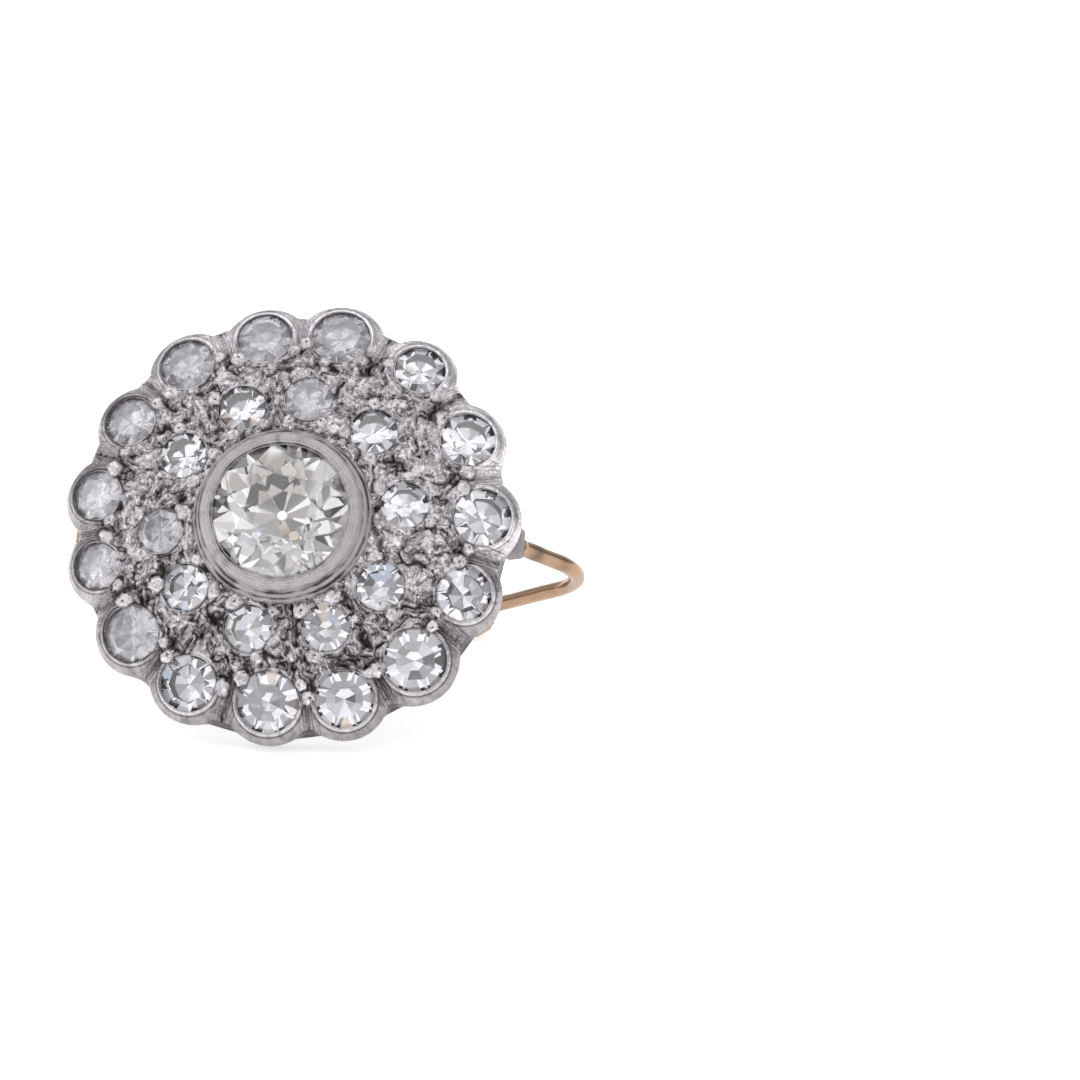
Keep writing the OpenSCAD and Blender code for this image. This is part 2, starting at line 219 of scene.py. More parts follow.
def plate_face(xy):
    """Height of the plate's face at each point, and the marks, painted shade and painted highlights
    that it carries there.
    """
    x, y = xy[:, 0], xy[:, 1]
    base = dome(x, y)
    points = np.column_stack((x, y, base))
    relief, dark = cut_marks(x, y)
    lip, worked = np.full(len(x), -0.1), np.ones(len(x))
    collar, groove, lipped, wear_and_painted_light, shade, line = np.zeros((6, len(x)))
    shaded = shaded_side(x, y)
    edge_width = 0.03 + 0.05 * ease(2.0, 7.0, -x)
    for s in settings:
        rel = points - s.at
        along, side = rel @ s.x, rel @ s.y
        away = np.hypot(along, side)
        edge = away - s.radius
        worked = np.minimum(worked, ease(-0.02, 0.2, edge))
        if s.outer:
            # The lip: a rolled crown with a fine line outside it, falling away to the rim
            facing = ease(-0.5, 0.0, along / np.maximum(away, 1e-6))
            rise = LIP_HIGH + 0.035 * hump(edge, 0.08, 0.045) - 0.04 * hump(edge, 0.18, 0.03)
            rise += 0.08 * relief
            rise -= 0.17 * ease(0.1, 0.34, edge) + 0.08 * ease(0.34, 0.62, edge)
            strong = facing * ease(0.75, 0.5, edge)
            lip = np.where(strong > 0, np.maximum(lip, rise * strong), lip)
            line = np.where(strong > lipped, edge, line)
            lipped = np.maximum(lipped, strong)
            # The lip's crest is painted lighter as a highlight, and the lips of the lower right get
            # painted shade
            wear_and_painted_light = np.maximum(wear_and_painted_light, hump(edge, 0.1, 0.04) * strong)
            ring_line = 0.5 * hump(edge, 0.18, 0.02)
            shade = np.maximum(shade, (ring_line + 0.6 * shaded * ease(-0.02, 0.2, edge)) * strong)
        # The stone's edge: a dark line, painted wider on the left as shade, a low collar and a
        # shallow groove round it
        shade = np.maximum(shade, 0.8 * hump(edge, 0, edge_width))
        collar = np.maximum(collar, 0.05 * hump(edge, 0.03, 0.05))
        collar -= 0.05 * hump(edge, 0.16, 0.05) * (1 - lipped)
        dark = dark + 0.3 * hump(edge, 0.15, 0.05) * (1 - lipped)
    lined = lipped * 0.07
    for notch in notches:
        # Between two scallops the file has run a crease inward, with strokes along both its sides
        off = x * math.sin(notch) - y * math.cos(notch)
        reach = ease(5.9, 7.4, x * math.cos(notch) + y * math.sin(notch))
        crease = hump(off, 0, 0.1) * reach
        stroked = hump(off, 0, 0.4) * reach * (1 - 0.8 * lipped)
        line = np.where(stroked > lined, off * 0.8, line)
        lined = np.maximum(lined, stroked * 2.5)
        groove = np.maximum(groove, crease)
        dark = dark + 0.4 * crease + 0.35 * stroked
    foot = from_collet(x, y) - COLLET_FOOT_R
    worked = np.minimum(worked, ease(-0.05, 0.25, foot))
    dark = dark + 0.5 * hump(foot, 0, 0.12)
    inside_edge = to_rim(x, y)
    rounding = ROUNDED * (np.clip(ROUNDED - inside_edge, 0, ROUNDED) / ROUNDED) ** 2
    ground = relief * (0.25 + 0.75 * worked) * ease(-0.06, 0.4, inside_edge) + collar
    high = base + ground * (1 - 0.85 * lipped) + lip * lipped - rounding - 0.1 * groove
    # The ground darkens downward. The lips' crests are lighter, partly from wear and partly as a
    # painted highlight that is strongest at the upper right; elsewhere the lips get painted shade.
    cut = worked * (1 - lipped)
    lit = ease(0.0, 5.0, 0.5 * x + 0.87 * y)
    dark = dark * (1 - 0.85 * lipped) + 0.45 * cut * ease(-1.0, 6.0, -y)
    dark += shade - (0.15 + 0.45 * lit) * wear_and_painted_light
    dark += lipped * (0.45 * (1 - shaded) * (1 - lit) - 0.35 * lit)
    return high, {"tarnish": dark, "cut": cut, "polish": lipped, "line": line, "lined": lined}


# In a sheet's grid of triangles, the rows lie this far apart and the edges this far off, in steps
ROW_STEP, EDGE_GAP = 0.866, 0.7


def sheet(name, loops, inside, height, step, reach, material, extra=None):
    """A sheet of metal edged by loops of points, cut into triangles about step wide. inside tells
    which places lie on it, height gives its relief and marks, and extra holds more points for it."""
    grid = []
    row = 0
    y = -reach
    while y < reach:
        xs = np.arange(-reach + (row % 2) * step / 2, reach, step)
        grid.append(np.column_stack((xs, np.full(len(xs), y))))
        y += step * ROW_STEP
        row += 1
    grid = np.concatenate(grid)
    grid = grid[inside(grid, step * EDGE_GAP)]
    flat = [grid] + ([extra] if extra is not None else [])
    edges, start = [], sum(len(f) for f in flat)
    for loop in loops:
        edges += [(start + i, start + (i + 1) % len(loop)) for i in range(len(loop))]
        start += len(loop)
        flat.append(loop[:, :2])
    flat = np.concatenate(flat)
    flat = [Vector(p) for p in flat.tolist()]
    flat, _, faces = delaunay_2d_cdt(flat, edges, [], 0, 1e-7, False)[:3]
    flat = np.array([tuple(p) for p in flat])
    faces = np.array(faces)
    faces = faces[inside(flat[faces].mean(1), 0)]
    high, marks = height(flat)
    points = np.column_stack((flat, high)).tolist()
    return piece(name, points, faces.tolist(), material, marks=marks)


class Wire:
    """A socket in a material. Arithmetic on it adds Math nodes, and node() adds any other kind."""

    def __init__(self, tree, socket=None):
        self.tree, self.socket = tree, socket

    def node(self, kind, choices=None, values=None, out=0):
        made = self.tree.nodes.new("ShaderNode" + kind)
        for name, value in (choices or {}).items():
            if name == "stops":
                stops = made.color_ramp.elements
                stops[0].position, stops[-1].position = value[0][0], value[-1][0]
                for place, _ in value[1:-1]:
                    stops.new(place)
                for stop, (_, shade) in zip(stops, value):
                    stop.color = (*shade, 1)
            else:
                setattr(made, name, value)
        for name, value in (values or {}).items():
            if isinstance(value, Wire):
                self.tree.links.new(value.socket, made.inputs[name])
            else:
                made.inputs[name].default_value = value
        return Wire(self.tree, made.outputs[out] if made.outputs else None)

    def other(self, out):
        return Wire(self.tree, self.socket.node.outputs[out])

    def maths(self, operation, *values):
        return self.node("Math", {"operation": operation}, dict(enumerate(values)))

    def vectors(self, operation, *values):
        out = "Value" if operation == "DOT_PRODUCT" else "Vector"
        return self.node("VectorMath", {"operation": operation}, dict(enumerate(values)), out=out)

    def __add__(self, other):
        return self.maths("ADD", self, other)

    def __sub__(self, other):
        return self.maths("SUBTRACT", self, other)

    def __rsub__(self, other):
        return self.maths("SUBTRACT", other, self)

    def __mul__(self, other):
        return self.maths("MULTIPLY", self, other)

    __radd__ = __add__

    def between(self, low, high):
        """0 where the wire is at low, 1 where it is at high, and smooth between."""
        ends = {"Value": self, "From Min": low, "From Max": high}
        return self.node("MapRange", {"interpolation_type": "SMOOTHSTEP"}, ends)

    def near(self, level, width):
        """1 where the wire is at level, falling to 0 at width from it."""
        return self.maths("ABSOLUTE", self - level).between(width, 0.0)

    def blend(self, one, two):
        """Colour one where the wire is 0, and colour two where it is 1."""
        one, two = ((*shade, 1) if isinstance(shade, tuple) else shade for shade in (one, two))
        return self.node("Mix", {"data_type": "RGBA"}, {0: self, 6: one, 7: two}, out=2)

    def mottle(self, scale, detail=2.0, roughness=0.5, out="Fac"):
        """Soft noise over the places that the wire holds, 0.5 on average."""
        ways = {"Vector": self, "Scale": scale, "Detail": detail, "Roughness": roughness}
        return self.node("TexNoise", {}, ways, out=out)


def new_material(name):
    """An empty material, and its start: a wire that holds nothing yet."""
    made = bpy.data.materials.new(name)
    made.use_nodes = True
    made.node_tree.nodes.clear()
    return made, Wire(made.node_tree)


def in_millimetres(start):
    place = start.node("TexCoord", out="Object")
    return start.node("VectorMath", {"operation": "SCALE"}, {"Vector": place, "Scale": 1 / MM})


def metal(name, bright, darker, darkening, rough, grain, depth):
    """Satin metal with soft blotches, fine scratches and a fine grain. Its points may carry how
    stained it is there, with painted shade (darker) and painted highlights (lighter) in the same
    value, how much the graver has cut it into small facets, how well it is polished, and how
    strongly it is lined, with the distance in millimetres across those lines. Stains and painted
    shade both blend to the darkening colour."""
    made, start = new_material(name)
    at = in_millimetres(start)
    kinds = ("tarnish", "cut", "polish", "line", "lined")
    marks = {mark: start.node("Attribute", {"attribute_name": mark}, out="Fac") for mark in kinds}
    blotch = at.mottle(1.3, 3.0).between(0.3, 0.75)
    speck = at.mottle(grain, 4.0, 0.65)
    scratch = at.vectors("MULTIPLY", at, (2.5, 14.0, 5.0)).mottle(1.6, 3.0)
    height = (speck * 0.6 + scratch * 0.4) * (1 - marks["polish"] * 0.75)

    # The graver's small facets, each leaning its own way and striped by the tool, between gaps
    cut = marks["cut"].between(0.1, 0.7)
    bent = at.vectors("MULTIPLY_ADD", at.mottle(2.2, out="Color"), (0.7, 0.7, 0.7), at)
    facet = start.node("TexVoronoi", {}, {"Vector": bent, "Scale": 4.0})
    lean = at.vectors("SUBTRACT", facet.other("Color"), (0.5, 0.5, 0.5))
    place = at.vectors("SUBTRACT", bent, facet.other("Position"))
    leaning = at.vectors("DOT_PRODUCT", lean, place) * 13.0
    stripes = at.maths("SINE", at.vectors("DOT_PRODUCT", bent, lean) * 120.0)
    gaps = bent.mottle(3.4, roughness=0.6).near(0.5, 0.022) * cut
    shades = at.vectors("DOT_PRODUCT", lean, (0.0, 0.6, 0.0))
    ridges = at.maths("SINE", marks["line"] * 52.0 + speck * 9.0) * marks["lined"]
    height = height + (leaning + stripes * 0.15) * cut - gaps * 1.6 + ridges * 0.8

    mark = (marks["tarnish"] + (speck - 0.5) * 0.6).between(0.0, 1.3) + gaps * 0.5 - ridges * 0.15
    wear_and_painted_light = blotch * 0.5 + speck.between(0.35, 0.7) * 0.5 + shades * cut - marks["tarnish"] * 0.5
    colour = mark.node("Clamp", {}, {"Value": mark}).blend(wear_and_painted_light.blend(darker, bright), darkening)
    roughness = rough + blotch * 0.1 + scratch.between(0.5, 0.8) * 0.12 + mark * 0.2
    roughness = roughness - marks["polish"] * 0.13
    bump = start.node("Bump", {}, {"Height": height, "Strength": 0.8, "Distance": depth})
    finish = {"Base Color": colour, "Roughness": roughness, "Metallic": 1.0, "Normal": bump}
    start.node("OutputMaterial", {}, {"Surface": start.node("BsdfPrincipled", {}, finish)})
    return made


BROWN = (0.07, 0.058, 0.053)
cut_metal = metal(
    "cut_white_metal", bright=(0.97, 0.945, 0.96), darker=(0.5, 0.47, 0.485), darkening=BROWN,
    rough=0.25, grain=9.0, depth=0.00006,
)

# Rings of points round each stone, this far from its edge, as far out as RINGED
RING_EDGES, RING_STEP, RINGED = (0.03, 0.065, 0.1, 0.135, 0.17, 0.21, 0.25, 0.29), 0.06, 0.3

face_outline = outline[:, None] * circle(outline_turns)


def inside_face(xy, margin):
    """Which places are on the plate's face. With a margin, also which are clear of the rings."""
    x, y = xy[:, 0], xy[:, 1]
    points = np.column_stack((x, y, dome(x, y)))
    kept = to_rim(x, y) > margin
    kept &= from_collet(x, y) > COLLET_HOLE_R + margin
    for s in settings:
        rel = points - s.at
        gap = np.hypot(rel @ s.x, rel @ s.y) - s.radius
        kept &= gap > (RINGED if margin else 0)
    return kept


def stone_rings():
    """Points in rings round the stones, so that lips and collars follow the stones exactly."""
    rings = []
    for s in settings:
        for edge in RING_EDGES:
            ring = s.ring(s.radius + edge, round(2 * math.pi * (s.radius + edge) / RING_STEP))
            nearest = np.full(len(ring), 9.0)
            for other in settings:
                if other is not s:
                    rel = ring - other.at
                    away = np.hypot(rel @ other.x, rel @ other.y)
                    nearest = np.minimum(nearest, away - other.radius)
            ring = ring[nearest > edge + RING_STEP / 2]
            ring = ring[to_rim(ring[:, 0], ring[:, 1]) > 0.02]
            ring = ring[from_collet(ring[:, 0], ring[:, 1]) > COLLET_HOLE_R + 0.04]
            rings.append(ring[:, :2])
    return np.concatenate(rings)


FRONT_STEP, FRONT_REACH = 0.048, 9
SEAT_SIDES, COLLET_SIDES = 72, 240
seat_edges = [s.ring(s.radius, SEAT_SIDES) for s in settings]
collet_turns = np.linspace(0, 2 * math.pi, COLLET_SIDES, endpoint=False)
collet_hole = COLLET_AT + COLLET_HOLE_R * circle(collet_turns)
head_face = sheet(
    "head_face", [face_outline, collet_hole, *seat_edges],
    inside_face, plate_face, FRONT_STEP, FRONT_REACH, cut_metal, stone_rings(),
)
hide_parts("head")

# The side of the scalloped edge: smooth filed metal from the lips down to the flat back, a little
# rounded, with its lower corner broken by the file.
smooth_metal = metal(
    "smooth_white_metal", bright=(0.8, 0.765, 0.785), darker=(0.6, 0.57, 0.585), darkening=BROWN,
    rough=0.34, grain=5.0, depth=0.000014,
)


def bands(rings):
    """Faces between closed rings of the same number of points, in order."""
    count = len(rings[0])
    faces = []
    for start in range(0, (len(rings) - 1) * count, count):
        for i in range(count):
            onward = (i + 1) % count
            faces.append((start + i, start + onward, start + count + onward, start + count + i))
    return faces


def closed(rings):
    """Faces between the rings, with a flat face over each end."""
    count, whole = len(rings[0]), len(rings) * len(rings[0])
    return bands(rings) + [tuple(range(count)), tuple(range(whole - 1, whole - count - 1, -1))]


# Steps down the side: how far down, how much it stands out there, and how much painted shade it gets
side_steps = (
    (0, 0, 0.0), (0.04, 0.012, 0.0), (0.12, 0.025, 0.0), (0.25, 0.03, 0.0), (0.4, 0.03, 0.05),
    (0.6, 0.02, 0.15), (0.8, 0.01, 0.3), (0.92, 0.0, 0.35), (0.98, -0.01, 0.4), (1, -0.04, 0.4),
)
NOTCH_DEEP = 0.25
top_z, _ = plate_face(face_outline)
notched = np.clip((NOTCH_R + NOTCH_DEEP - outline) / NOTCH_DEEP, 0, 1)
# Painted shade on the side: darker on the lower right and towards the bottom
darker = 0.45 * shaded_side(*face_outline.T) + 0.25 * ease(0.0, 6.0, -face_outline[:, 1])
rings, dark = [], []
for drop, bulge, shade in side_steps:
    wave = uneven(face_outline, 0.9, drop * 3)
    reach = outline * (1 - drop) + back_outline * drop + bulge
    reach = reach + 0.02 * wave * (drop > 0) * (drop < 1)
    rings.append(np.column_stack((reach[:, None] * circle(outline_turns), top_z * (1 - drop))))
    dark.append(shade + 0.3 * notched + darker)
points, marks = np.concatenate(rings).tolist(), {"tarnish": np.concatenate(dark)}
side = piece("scalloped_side", points, bands(rings), smooth_metal, marks=marks)
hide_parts("head")

# The back of the plate: hollowed to save weight and to let light to the stones, with a flat rim and
# a drilled hole behind each stone.
HOLLOW_R, PLATE_T = 6.0, 1.15
HOLLOW_MOUTH_R, HOLLOW_FLOOR_R = HOLLOW_R + 0.04, HOLLOW_R - 0.1
COLLET_BACK_R = 2.8
DRILL, DRILL_SIDES = 0.5, 40
BACK_STEP = 0.16
back_edge = back_outline - 0.04
back_metal = metal(
    "back_white_metal", bright=(0.6, 0.57, 0.58), darker=(0.42, 0.4, 0.41), darkening=BROWN,
    rough=0.4, grain=6.0, depth=0.00002,
)


def drill_edge(s):
    """Where a stone's drilled hole opens at the back."""
    tube = s.ring(DRILL * s.radius, DRILL_SIDES)
    if s.outer:
        run = -tube[:, 2] / s.z[2]
    else:
        depth = math.sqrt((DOME_R - PLATE_T) ** 2 - (DRILL * s.radius) ** 2) - DOME_R
        run = np.full(len(tube), depth)
    return tube + run[:, None] * s.z


def inside_rim(xy, margin):
    x, y = xy[:, 0], xy[:, 1]
    kept = (to_rim(x, y, back_edge) > margin) & (np.hypot(x, y) > HOLLOW_MOUTH_R + margin)
    for s in outer_settings:
        middle = s.at - s.z * s.at[2] / s.z[2]
        cos, sin = math.cos(s.angle), math.sin(s.angle)
        along = ((x - middle[0]) * cos + (y - middle[1]) * sin) * s.z[2]
        side_way = (y - middle[1]) * cos - (x - middle[0]) * sin
        kept &= np.hypot(along, side_way) > DRILL * s.radius + margin
    return kept


def rim_height(xy):
    x, y = xy[:, 0], xy[:, 1]
    rough = uneven(xy, 1.5, 5.0)
    inner = ease(0, 0.3, to_rim(x, y, back_edge)) * ease(0, 0.3, np.hypot(x, y) - HOLLOW_MOUTH_R)
    return 0.02 * rough * inner, {"tarnish": 0.15 + 0.3 * np.clip(rough, 0, 1)}


rim_outline = back_edge[:, None] * circle(outline_turns)
HOLLOW_SIDES = 200
hollow_ring = circle(np.linspace(0, 2 * math.pi, HOLLOW_SIDES, endpoint=False))
drill_edges = {s.name: drill_edge(s) for s in settings}
back_rim = sheet(
    "back_rim",
    [rim_outline, hollow_ring * HOLLOW_MOUTH_R, *(drill_edges[s.name] for s in outer_settings)],
    inside_rim, rim_height, BACK_STEP, FRONT_REACH, back_metal,
)
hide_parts("head")


def inside_hollow(xy, margin):
    x, y = xy[:, 0], xy[:, 1]
    kept = np.hypot(x, y) < HOLLOW_FLOOR_R - margin
    kept &= from_collet(x, y) > COLLET_BACK_R + margin
    points = np.column_stack((x, y, hollow_dome(x, y)))
    for s in settings:
        if not s.outer:
            rel = points - s.at
            kept &= np.hypot(rel @ s.x, rel @ s.y) > DRILL * s.radius + margin
    return kept


def hollow_dome(x, y):
    return DOME_TOP - DOME_R + np.sqrt((DOME_R - PLATE_T) ** 2 - x**2 - y**2)


def hollow_height(xy):
    rough = uneven(xy, 1.2, 9.0)
    high = hollow_dome(xy[:, 0], xy[:, 1])
    away = HOLLOW_FLOOR_R - np.hypot(xy[:, 0], xy[:, 1])
    dark = np.clip(0.3 + 0.35 * rough + 0.4 * ease(0.5, 0, away), 0, 1)
    return high + 0.03 * rough * ease(0, 0.3, away), {"tarnish": dark}


back_hollow = sheet(
    "back_hollow",
    [
        hollow_ring * HOLLOW_FLOOR_R,
        COLLET_AT + hollow_ring * COLLET_BACK_R,
        *(drill_edges[s.name] for s in settings if not s.outer),
    ],
    inside_hollow, hollow_height, BACK_STEP, HOLLOW_R + 0.2, back_metal,
)
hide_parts("head")
wall_steps = (
    (HOLLOW_FLOOR_R, hollow_dome(HOLLOW_FLOOR_R, 0)), (HOLLOW_R - 0.02, 0.66), (HOLLOW_R, 0.55),
    (HOLLOW_R, 0.04), (HOLLOW_MOUTH_R, 0),
)
rings = [np.column_stack((hollow_ring * r, np.full(HOLLOW_SIDES, z))) for r, z in wall_steps]
points = np.concatenate(rings).tolist()
marks = {"tarnish": [0.35] * len(points)}
hollow_wall = piece("hollow_wall", points, bands(rings), back_metal, marks=marks)
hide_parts("head")

# The seats: each small stone rests on a tapered ledge cut under its girdle, below which the hole is
# drilled through. The metal at the edge is pressed over the girdle.
points, faces, dark = [], [], []


def add_rings(rings, shades):
    """Puts a tube of rings into the piece being made. Each ring has one shade."""
    offset = len(points)
    points.extend(np.concatenate(rings).tolist())
    faces.extend(tuple(offset + i for i in f) for f in bands(rings))
    dark.extend(shade for ring, shade in zip(rings, shades) for _ in ring)


for s, edge in zip(settings, seat_edges):
    high, _ = plate_face(edge[:, :2])
    first = edge.copy()
    first[:, 2] = high
    stand = (first - s.at) @ s.z
    lip_in = s.ring(s.radius - 0.035, SEAT_SIDES) + np.maximum(stand - 0.03, 0.1)[:, None] * s.z
    drill_z = -0.82 * s.radius - 0.1
    ledge = [
        s.ring(s.radius - 0.03, SEAT_SIDES, 0.08),
        s.ring(s.radius + 0.02, SEAT_SIDES, 0.05),
        s.ring(s.radius + 0.02, SEAT_SIDES, -0.13),
        s.ring(s.radius * 0.94, SEAT_SIDES, -0.16),
        s.ring(s.radius * DRILL, SEAT_SIDES, drill_z),
    ]
    # Painted shade: the metal just under the girdle is darkest
    add_rings([first, lip_in, *ledge], (0.3, 0.1, 0.7, 0.7, 0.3, 0.3, 0.3))
    add_rings([s.ring(s.radius * DRILL, DRILL_SIDES, drill_z), drill_edges[s.name]], (0.4, 0.4))
seats = piece("seats", points, faces, smooth_metal, marks={"tarnish": dark})
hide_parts("head")

# The collet: a tapered tube turned and soldered into the plate, its lip rubbed over the centre
# stone. Fine turning lines run round its side, and its top is satin.
collet_metal = metal(
    "collet_white_metal", bright=(0.73, 0.695, 0.71), darker=(0.57, 0.54, 0.555), darkening=BROWN,
    rough=0.5, grain=9.0, depth=0.00004,
)
# The tube's turned profile, from the lip's inner edge over its top, down the outside to the open
# back end and up the bore: radius, height and how dark it is there
collet_profile = [
    (2.7, 3.08, 0.7), (2.6, 3.1, 0.6), (2.565, 3.15, 0.3), (2.575, 3.19, 0.1), (2.6, 3.21, 0.0),
    (2.625, 3.2, 0.6), (2.65, 3.2, 0.5), (2.675, 3.235, 0.0), (2.72, 3.25, 0.0), (2.8, 3.25, 0.0),
    (2.88, 3.24, 0.0), (2.96, 3.22, 0.0), (3.01, 3.19, 0.0), (3.045, 3.13, 0.1), (3.06, 3.07, 0.35),
    (3.075, 2.98, 0.45), (3.09, 2.9, 0.45), (3.1, 2.85, 0.8), (3.12, 2.82, 0.7), (3.15, 2.81, 0.1),
    (3.19, 2.78, 0.0), (3.22, 2.72, 0.1), (3.24, 2.65, 0.5), (3.25, 2.6, 0.9), (3.28, 2.57, 0.6),
    (3.34, 2.55, 0.1), (3.39, 2.5, 0.1), (3.43, 2.42, 0.4), (3.42, 2.28, 0.7), (3.0, 1.8, 0.5),
    (2.98, 1.35, 0.5), (2.32, 0.37, 0.3), (2.26, 0.34, 0.1), (1.96, 0.34, 0.1), (1.9, 0.38, 0.3),
    (2.52, 2.7, 0.4), (2.56, 2.84, 0.5), (2.66, 2.88, 0.6), (2.7, 2.9, 0.6), (2.7, 3.08, 0.6),
]
COLLAR_Z = 2.4
rings, dark, line, lips = [], [], [], []
for r, z, shade in collet_profile:
    around = circle(collet_turns)
    wave = uneven(around, 2.2, z * 1.5)
    ripple = uneven(around, 9, z * 6)
    high = z > COLLAR_Z
    reach = r + high * (0.035 * wave + 0.01 * ripple)
    rings.append(np.column_stack((COLLET_AT + reach[:, None] * around, z + high * 0.01 * wave)))
    dark.append(shade * (1.1 + 1.2 * wave) + 0.6 * ripple + 0.4 * wave)
    line.append(np.full(COLLET_SIDES, r - z))
    lips.append(np.full(COLLET_SIDES, 0.6 * high))
points = np.concatenate(rings).tolist()
kinds = {"tarnish": dark, "line": line, "lined": lips}
marks = {kind: np.concatenate(values) for kind, values in kinds.items()}
collet = piece("collet", points, bands(rings), collet_metal, marks=marks)
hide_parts("head")

# The grains: beads of the plate's own metal, raised with the graver, pushed over a stone's edge and
# rounded with a beading tool, which leaves a small dark pit in the top of each.
# Steps up a grain: radius, height and how dark it is there. Its foot is painted dark as shade where
# it meets the plate, and its top lighter as a painted highlight.
bead_profile = [
    (1.35, -0.5, 1.0), (1.15, -0.1, 0.9), (1.0, 0.22, 0.2), (0.82, 0.44, -0.2), (0.58, 0.57, -0.4),
    (0.34, 0.6, -0.4), (0.2, 0.59, 0.0),
]
BEAD_SIDES, BEAD_OFF = 18, 0.2
OUTER_BEADS, INNER_BEADS = (118, 242), (38, 142, 218, 322)
luck = random.Random(7)
points, faces, dark = [], [], []
for s in settings:
    for turn in OUTER_BEADS if s.outer else INNER_BEADS:
        turn += luck.uniform(-9, 9)
        size, long = luck.uniform(0.22, 0.3), luck.uniform(0.85, 1.3)
        lean = Matrix.Rotation(math.radians(turn), 4, "Z")
        lean = lean @ Matrix.Translation((s.radius + BEAD_OFF, 0, 0.02))
        lean = s.place @ lean @ Matrix.Rotation(math.radians(luck.uniform(-22, 4)), 4, "Y")
        seed, pit = luck.uniform(0, 50), luck.choice((0.02, 0.12, 0.16))
        rings, shades = [], []
        for r, z, shade in bead_profile + [(0.11, 0.58 - pit, pit * 6), (0.0, 0.57 - pit, pit * 8)]:
            ring = []
            for i in range(BEAD_SIDES):
                a = i * 2 * math.pi / BEAD_SIDES
                u, v = math.cos(a) * r, math.sin(a) * r
                bump = 1 + 0.35 * noise.noise((u * 1.7 + seed, v * 1.7, z * 1.8))
                bump += 0.12 * noise.noise((u * 4 + seed, v * 4, z * 3 + 7))
                ring.append(lean @ Vector((u * size * bump, v * size * bump * long, z * size * bump)))
            rings.append(ring)
            shades.append(shade)
        add_rings(rings, shades)
marks = {"tarnish": dark, "cut": [0.3] * len(points)}
grains = piece("grains", points, faces, cut_metal, marks=marks)
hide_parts("head")

# The small stones: eight-cut diamonds, with a table, eight crown facets and eight pavilion facets
# on a thin girdle, each set at its own turn.
REFRACTION = 2.42
FILM_TONES = (0.74, 0.73, 0.78), (0.92, 0.91, 0.96)
CLOUD_TONE = (0.28, 0.25, 0.22)
CLOUD_R, CLOUD_CORE_R = 1.45, 1.1


def diamond(name, tint, clearest, filmed, cloud_at=None):
    """Clear stone of a diamond's refraction, with the faintest clouds of body colour, under a thin
    uneven film of skin oil and dust. A grey cloud lies in the stone at cloud_at, if that is given."""
    made, start = new_material(name)
    at = in_millimetres(start)
    body = at.mottle(0.9).between(0.35, 0.7).blend(tint, clearest)
    if cloud_at:
        off = start.node("VectorMath", {"operation": "DISTANCE"}, {0: at, 1: cloud_at}, out="Value")
        body = off.between(CLOUD_R, CLOUD_CORE_R).blend(body, CLOUD_TONE)
    inside = {"Base Color": body, "Roughness": 0.0, "IOR": REFRACTION, "Transmission Weight": 1.0}
    clear = start.node("BsdfPrincipled", {}, inside)
    smear = at.mottle(3.5, 4.0)
    oily = {"Base Color": smear.between(0.4, 0.7).blend(*FILM_TONES), "Roughness": 0.45}
    film = start.node("BsdfPrincipled", {}, oily)
    amount = smear.between(0.3, 0.75) * filmed + filmed * 0.5
    stone = start.node("MixShader", {}, {0: amount, 1: clear, 2: film})
    start.node("OutputMaterial", {}, {"Surface": stone})
    return made


clear_diamond = diamond("clear_diamond", (0.95, 0.94, 0.985), (0.97, 0.965, 1.0), 0.04)
hazy_diamond = diamond("hazy_diamond", (0.93, 0.92, 0.97), (0.97, 0.96, 1.0), 0.24)
# The stones under the thickest film: the outer ones from the top round to the lower left, and
# two of the inner ring
HAZY = [f"outer_stone_{i:02d}" for i in range(4, 11)] + ["inner_stone_03", "inner_stone_06"]
GIRDLE, EIGHTH = 0.025, math.pi / 8


def ring_of(count, radius, z, first=0.0):
    turns = [first + i * 2 * math.pi / count for i in range(count)]
    return [Vector((radius * math.cos(turn), radius * math.sin(turn), z)) for turn in turns]


def eight_cut(radius, crown, table, depth):
    """The cut's heights, its girdle and its table are shares of the stone's width."""
    d, half = 2 * radius, math.cos(EIGHTH)
    # The girdle's edge dips at the middle of each facet, so that flat facets meet a round edge
    crown_dip = (crown - GIRDLE) * d / ((1 - table) * half) * (1 - half)
    pavilion_dip = (depth - GIRDLE) * d / half * (1 - half)
    points = ring_of(8, table * radius, crown * d, EIGHTH)
    for sign, dip in ((1, crown_dip), (-1, pavilion_dip)):
        side = ring_of(16, radius, 0)
        for i, p in enumerate(side):
            p.z = sign * (GIRDLE * d - (dip if i % 2 == 0 else 0))
        points += side
    points.append(Vector((0, 0, -depth * d)))
    faces = [tuple(range(8))]
    faces += [(i, (i + 7) % 8, 8 + (2 * i + 15) % 16, 8 + 2 * i, 8 + 2 * i + 1) for i in range(8)]
    faces += [(8 + (i + 1) % 16, 8 + i, 24 + i, 24 + (i + 1) % 16) for i in range(16)]
    faces += [(24 + 2 * i + 1, 24 + 2 * i, 24 + (2 * i + 15) % 16, 40) for i in range(8)]
    return points, faces


for s in settings:
    crown, table = luck.uniform(0.12, 0.145), luck.uniform(0.6, 0.68)
    depth = luck.uniform(0.42, 0.445)
    cut, faces = eight_cut(s.radius, crown, table, depth)
    set_down = s.place @ Matrix.Rotation(luck.uniform(0, math.pi / 4), 4, "Z")
    set_down = set_down @ Matrix.Rotation(math.radians(luck.uniform(-2, 2)), 4, "X")
    points = [set_down @ p for p in cut]
    look = hazy_diamond if s.name in HAZY else clear_diamond
    name = s.name.replace("stone", "diamond")
    stone = piece(name, points, faces, look, smooth=False)
    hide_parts(s.name)

